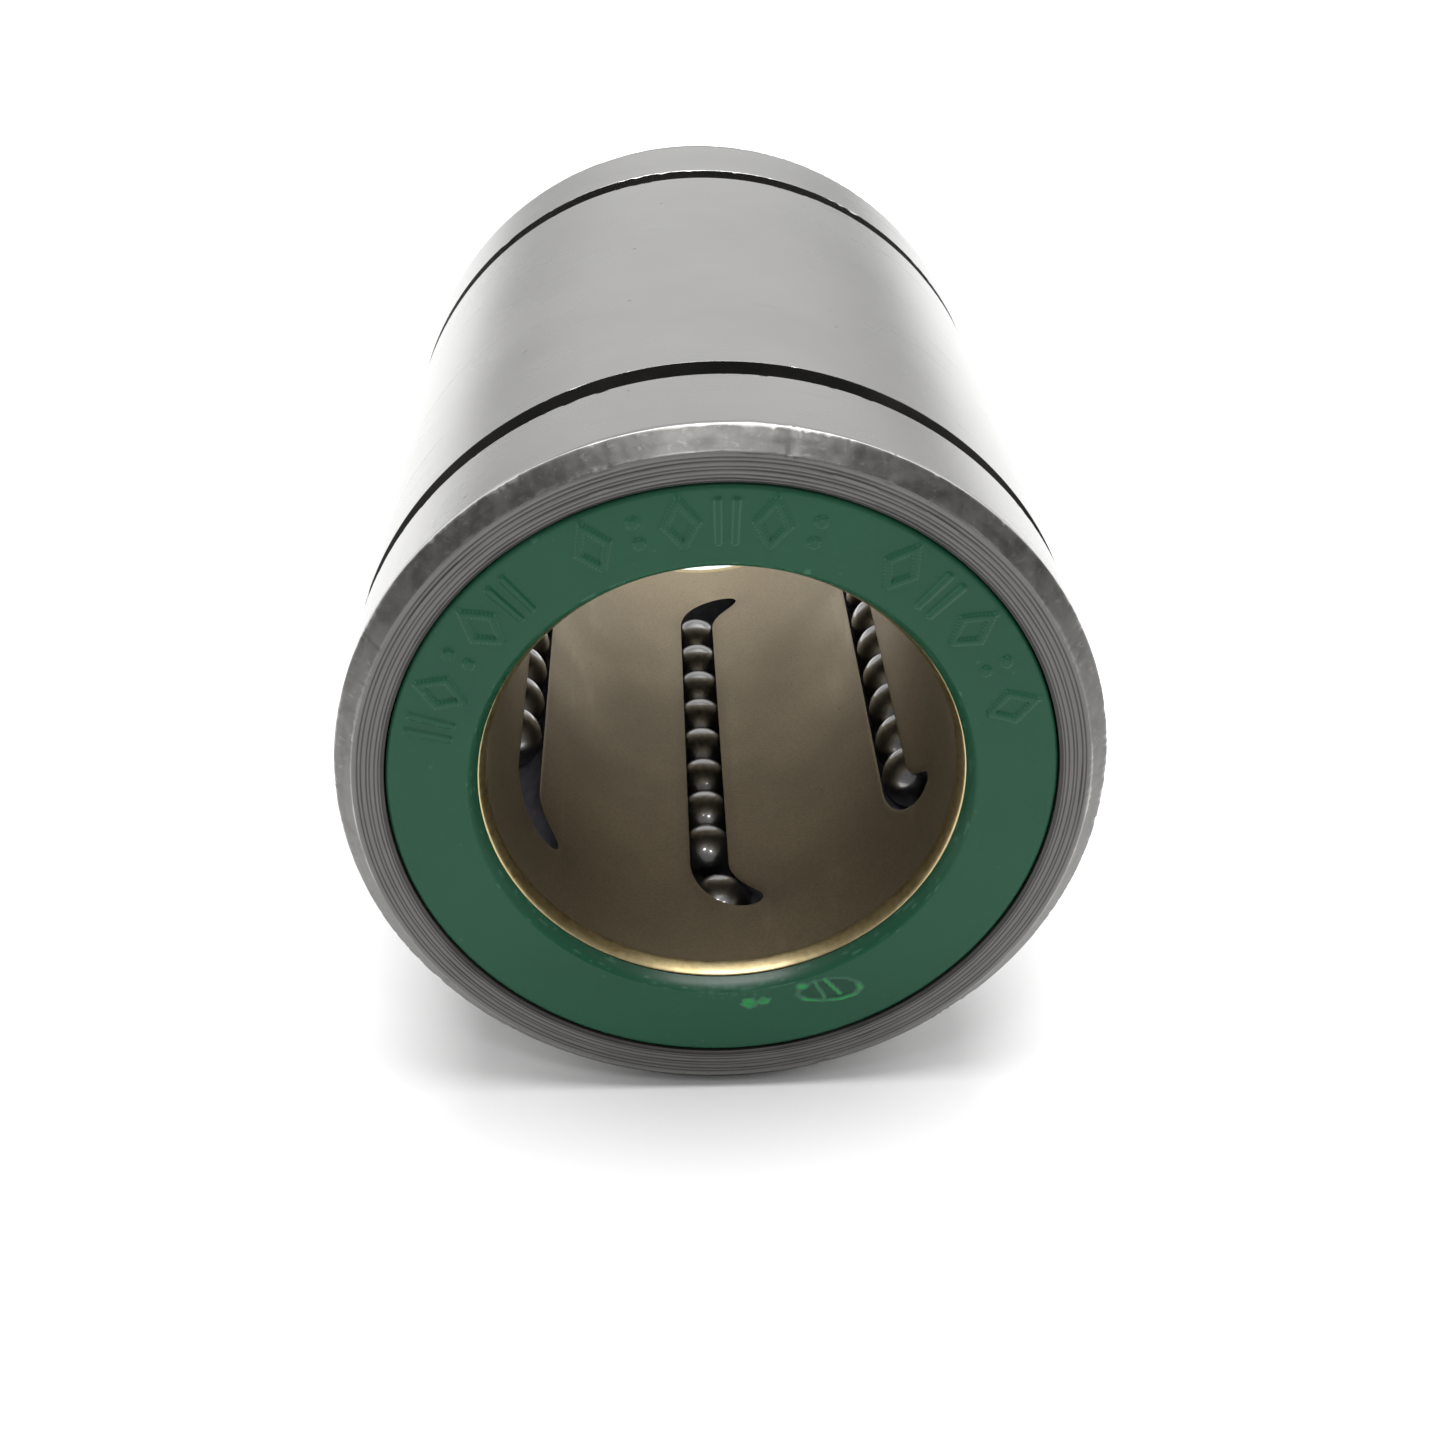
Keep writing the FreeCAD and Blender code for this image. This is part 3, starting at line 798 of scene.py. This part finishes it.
def steel_scale():
    """Groove floors: the black skin that hardening leaves, worn bright on the edges."""
    g = Skin("steel_scale")
    wear = g.attribute("wear")
    grain = g.noise(g.scaled((300, 5000, 300)), detail=4.0)
    base = g.blend(g.between(grain, 0.3, 0.7), (0.018, 0.017, 0.016), (0.04, 0.038, 0.035))
    base = g.blend(g.between(wear, 0.45, 1.2), base, (0.5, 0.49, 0.47))
    g.set(Base_Color=base, Metallic=g.between(wear, 0.4, 0.9, 0.3, 1.0), Roughness=0.62)
    g.set(Normal=g.bump(grain, 0.00001))
    return g.material


def steel_inside():
    """Raceway and counterbore: dark, with a film of oil."""
    g = Skin("steel_inside")
    cloud = g.noise(g.scaled((400, 2500, 400)), detail=4.0)
    g.set(Base_Color=g.blend(g.between(cloud, 0.3, 0.7), (0.42, 0.42, 0.47), (0.52, 0.52, 0.57)))
    g.set(Metallic=0.3, Roughness=g.between(cloud, 0.2, 0.8, 0.25, 0.4), Normal=g.bump(cloud, 0.00001))
    return g.material


def brass_bore():
    """The bored inside of the cage: dull satin brass with a fine grain, faint tool lines and smears."""
    g = Skin("brass_bore")
    wear, dirt = g.attribute("wear"), g.attribute("dirt")
    lines = g.noise(g.scaled((90, 7000, 90)), detail=3.0)
    grain = g.noise(g.place, scale=7500.0, detail=3.0, roughness=0.6)
    cloud = g.noise(g.place, scale=160.0, detail=4.0)
    smear = g.between(g.noise(g.scaled((520, 70, 520)), detail=3.0, distortion=0.3), 0.58, 0.76)
    speck = g.between(g.cells(g.place, scale=800.0), 0.03, 0.08, 1.0, 0.0)
    base = g.blend(g.between(grain, 0.25, 0.75), (0.262, 0.217, 0.145), (0.33, 0.277, 0.19))
    base = g.blend(g.between(cloud, 0.35, 0.7, 0.0, 0.3), base, (0.22, 0.188, 0.138))
    base = g.blend(g.math("MULTIPLY", smear, 0.25), base, (0.42, 0.36, 0.27))
    base = g.blend(g.math("MULTIPLY", speck, 0.4), base, (0.12, 0.095, 0.06))
    base = g.blend(g.math("MULTIPLY", dirt, 0.2), base, (0.08, 0.068, 0.05))
    # Paler along the broken slot edges: a painted highlight.
    base = g.blend(g.math("MULTIPLY", wear, 0.12), base, (0.45, 0.39, 0.28))
    rough = g.math("SUBTRACT", g.between(cloud, 0.2, 0.8, 0.48, 0.56), g.math("MULTIPLY", smear, 0.08))
    g.set(Base_Color=base, Metallic=1.0, Roughness=rough)
    g.set(Normal=g.bump(lines, 0.000003, g.bump(grain, 0.000002)))
    return g.material


def brass_bevel():
    """The bevel at the cage's mouth: cleaner, brighter brass with chattered edges."""
    g = Skin("brass_bevel")
    wear = g.attribute("wear")
    chatter = g.noise(g.scaled((420, 11000, 420)), detail=3.0)
    mottle = g.noise(g.place, scale=3200.0, detail=4.0, roughness=0.7)
    base = g.blend(g.between(mottle, 0.3, 0.7), (0.46, 0.37, 0.185), (0.6, 0.485, 0.26))
    # Paler at the rounded inner edge, a painted highlight, and in random patches round the bevel.
    base = g.blend(g.math("MULTIPLY", wear, 0.45), base, (0.85, 0.74, 0.48))
    g.set(Base_Color=base, Metallic=1.0, Roughness=g.between(mottle, 0.2, 0.8, 0.28, 0.37))
    g.set(Normal=g.bump(chatter, 0.0000025, g.bump(mottle, 0.0000007)))
    return g.material


def brass_pocket():
    """Ball pockets and the outside of the cage: milled brass with dark oil."""
    g = Skin("brass_pocket")
    grain = g.noise(g.place, scale=1500.0, detail=4.0)
    g.set(Base_Color=g.blend(g.between(grain, 0.3, 0.7), (0.42, 0.42, 0.49), (0.52, 0.51, 0.58)))
    g.set(Metallic=0.1, Roughness=g.between(grain, 0.2, 0.8, 0.4, 0.55), Normal=g.bump(grain, 0.00001))
    return g.material


def green_plastic():
    """The moulded rings: satin green, glossier on the lip, paler where worn, scuffed and where a
    highlight is painted, and vivid where torn.
    """
    g = Skin("green_plastic")
    wear, dirt = g.attribute("wear"), g.attribute("dirt")
    skin = g.noise(g.place, scale=5200.0, detail=3.0)
    cloud = g.noise(g.place, scale=150.0, detail=4.0)
    speck = g.between(g.cells(g.place, scale=700.0), 0.03, 0.07, 1.0, 0.0)
    base = g.blend(g.between(cloud, 0.3, 0.7), (0.009, 0.067, 0.034), (0.0115, 0.077, 0.039))
    base = g.blend(g.math("MULTIPLY", speck, 0.25), base, (0.05, 0.16, 0.1))
    base = g.blend(g.math("MULTIPLY", dirt, 0.6), base, (0.003, 0.018, 0.01))
    # Paler where worn and where a highlight is painted: the marks' rims and the lip's bottom.
    base = g.blend(g.between(wear, 0.03, 0.4, 0.0, 0.45), base, (0.07, 0.17, 0.115))
    base = g.blend(g.between(wear, 0.5, 0.95), base, (0.018, 0.27, 0.062))
    lip = g.between(g.radius(), 0.01016, 0.01036, 1.0, 0.0)
    base = g.blend(g.math("MULTIPLY", lip, 0.12), base, (0.0, 0.03, 0.014))
    rough = g.math("ADD", g.between(cloud, 0.3, 0.7, 0.36, 0.44), g.math("MULTIPLY", wear, 0.12))
    rough = g.math("SUBTRACT", rough, g.math("MULTIPLY", lip, 0.1))
    g.set(Base_Color=base, Roughness=rough, IOR=g.math("ADD", 1.3, g.math("MULTIPLY", lip, 0.24)))
    g.set(Normal=g.bump(skin, 0.000003, g.bump(cloud, 0.000008)))
    return g.material


def ball_steel():
    """Bearing balls, dulled by running, under a clear film of oil."""
    g = Skin("ball_steel")
    film = g.noise(g.place, scale=700.0, detail=3.0, distortion=0.5)
    fleck = g.between(g.cells(g.place, scale=2600.0), 0.06, 0.14, 1.0, 0.0)
    base = g.blend(g.between(film, 0.35, 0.7), (0.235, 0.23, 0.228), (0.165, 0.162, 0.16))
    base = g.blend(g.math("MULTIPLY", fleck, 0.5), base, (0.07, 0.065, 0.06))
    g.set(Base_Color=base, Metallic=1.0, Roughness=g.between(film, 0.3, 0.75, 0.30, 0.40))
    g.set(Coat_Weight=1.0, Coat_Roughness=0.06, Coat_IOR=1.9, Normal=g.bump(film, 0.000006))
    return g.material


# ---------------------------------------------------------------- pieces on their bodies

skins = {
    "inside": steel_inside(),
    "ground": steel_ground(),
    "scale": steel_scale(),
    "chamfer": steel_chamfer(),
    "face": steel_faced(),
    "pocket": brass_pocket(),
    "bore": brass_bore(),
    "bevel": brass_bevel(),
    "green": green_plastic(),
}


def place(piece, names, node):
    """Gives a replacing piece its materials, puts it on the root body and hides the CAD node it stands
    for.
    """
    mesh = piece.data
    skin_of_face = np.zeros(len(mesh.polygons), np.int32)
    mesh.polygons.foreach_get("material_index", skin_of_face)
    mesh.materials.clear()
    for name in names:
        mesh.materials.append(skins[name])
    mesh.polygons.foreach_set("material_index", skin_of_face)
    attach(piece, "root")
    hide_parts(node)


place(make_sleeve(), SLEEVE_SKINS, "outer_sleeve")
place(make_cage(), CAGE_SKINS, "ball_cage")
place(make_ring(-1), RING_SKINS, "front_end_ring")
place(make_ring(1), RING_SKINS, "rear_end_ring")

polished = ball_steel()
for node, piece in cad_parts.items():
    if node.endswith("_balls"):
        piece.data.materials.clear()
        piece.data.materials.append(polished)


# ---------------------------------------------------------------- floor, light, camera

def floor_white():
    """Plain pale paper."""
    g = Skin("floor_white")
    grain = g.noise(g.place, scale=40.0, detail=3.0)
    g.set(Base_Color=g.blend(g.between(grain, 0.3, 0.7), (0.86, 0.86, 0.86), (0.88, 0.88, 0.88)))
    g.set(Roughness=0.9)
    return g.material


floor_mesh = bpy.data.meshes.new("floor")
corners = [(x * FLOOR_HALF_SIDE, y * FLOOR_HALF_SIDE, 0)
           for x, y in ((-1, -1), (1, -1), (1, 1), (-1, 1))]
floor_mesh.from_pydata(corners, [], [(0, 1, 2, 3)])
floor = bpy.data.objects.new("floor", floor_mesh)
floor.location.z = -OUTSIDE * MM
bpy.context.scene.collection.objects.link(floor)
floor.data.materials.append(floor_white())


def softbox(name, spot, size, power):
    """A rectangular lamp at spot that points at the middle of the object."""
    lamp = bpy.data.lights.new(name, "AREA")
    lamp.shape = "RECTANGLE"
    lamp.size, lamp.size_y = size
    lamp.energy = power
    thing = bpy.data.objects.new(name, lamp)
    thing.location = spot
    thing.rotation_mode = "QUATERNION"
    thing.rotation_quaternion = (Vector((0, 0, 0)) - Vector(spot)).to_track_quat("-Z", "Y")
    bpy.context.scene.collection.objects.link(thing)


softbox("overhead", (0.0, 0.03, 0.55), (0.45, 0.45), 3.4)
softbox("left_lamp", (-0.12, -0.40, 0.62), (0.10, 0.10), 0.42)
softbox("right_lamp", (0.16, -0.44, 0.50), (0.08, 0.08), 0.22)


def studio_world():
    """Soft light all round: bright above, behind and at both sides, dim in front."""
    world = bpy.data.worlds.new("studio")
    world.use_nodes = True
    g = Graph(world.node_tree)
    direction = g.tree.nodes.new("ShaderNodeTexCoord").outputs["Generated"]
    x, y, z = g.split(direction)
    low = g.between(z, 0.02, 0.3, 0.54, 1.0)
    middle = g.between(z, 0.34, 0.5, 0.0, -0.35)
    high = g.math("MULTIPLY", g.between(z, 0.55, 0.8), g.between(x, -0.4, 0.4, 0.7, 1.9))
    side = g.math("MULTIPLY", g.between(g.math("ABSOLUTE", x), 0.4, 0.7),
                  g.between(z, 0.0, 0.2, 0.5, 0.9))
    glow = g.math("ADD", g.math("ADD", low, middle), g.math("ADD", high, side))
    glow = g.math("MULTIPLY", g.between(y, -0.25, 0.35), glow)
    top = g.between(z, 0.85, 0.97, 0.0, 1.4)
    strength = g.math("MAXIMUM", g.math("MAXIMUM", glow, top), WORLD_FRONT)
    background = g.tree.nodes.new("ShaderNodeBackground")
    background.inputs["Color"].default_value = (1, 1, 1, 1)
    g.feed(background.inputs["Strength"], strength)
    output = g.tree.nodes.new("ShaderNodeOutputWorld")
    g.tree.links.new(background.outputs[0], output.inputs["Surface"])
    return world


scene = bpy.context.scene
scene.world = studio_world()
scene.view_settings.view_transform = "Standard"

camera_data = bpy.data.cameras.new("camera")
camera_data.sensor_width = SENSOR
camera_data.lens = CAMERA_LENS
camera_data.clip_start = 0.005
camera_data.clip_end = 20.0
camera = bpy.data.objects.new("camera", camera_data)
right, up = Vector(CAMERA_RIGHT).normalized(), Vector(CAMERA_UP).normalized()
axes = Matrix((right, up, right.cross(up))).transposed()
camera.matrix_world = Matrix.Translation(CAMERA_PLACE) @ axes.to_4x4()
scene.collection.objects.link(camera)
scene.camera = camera
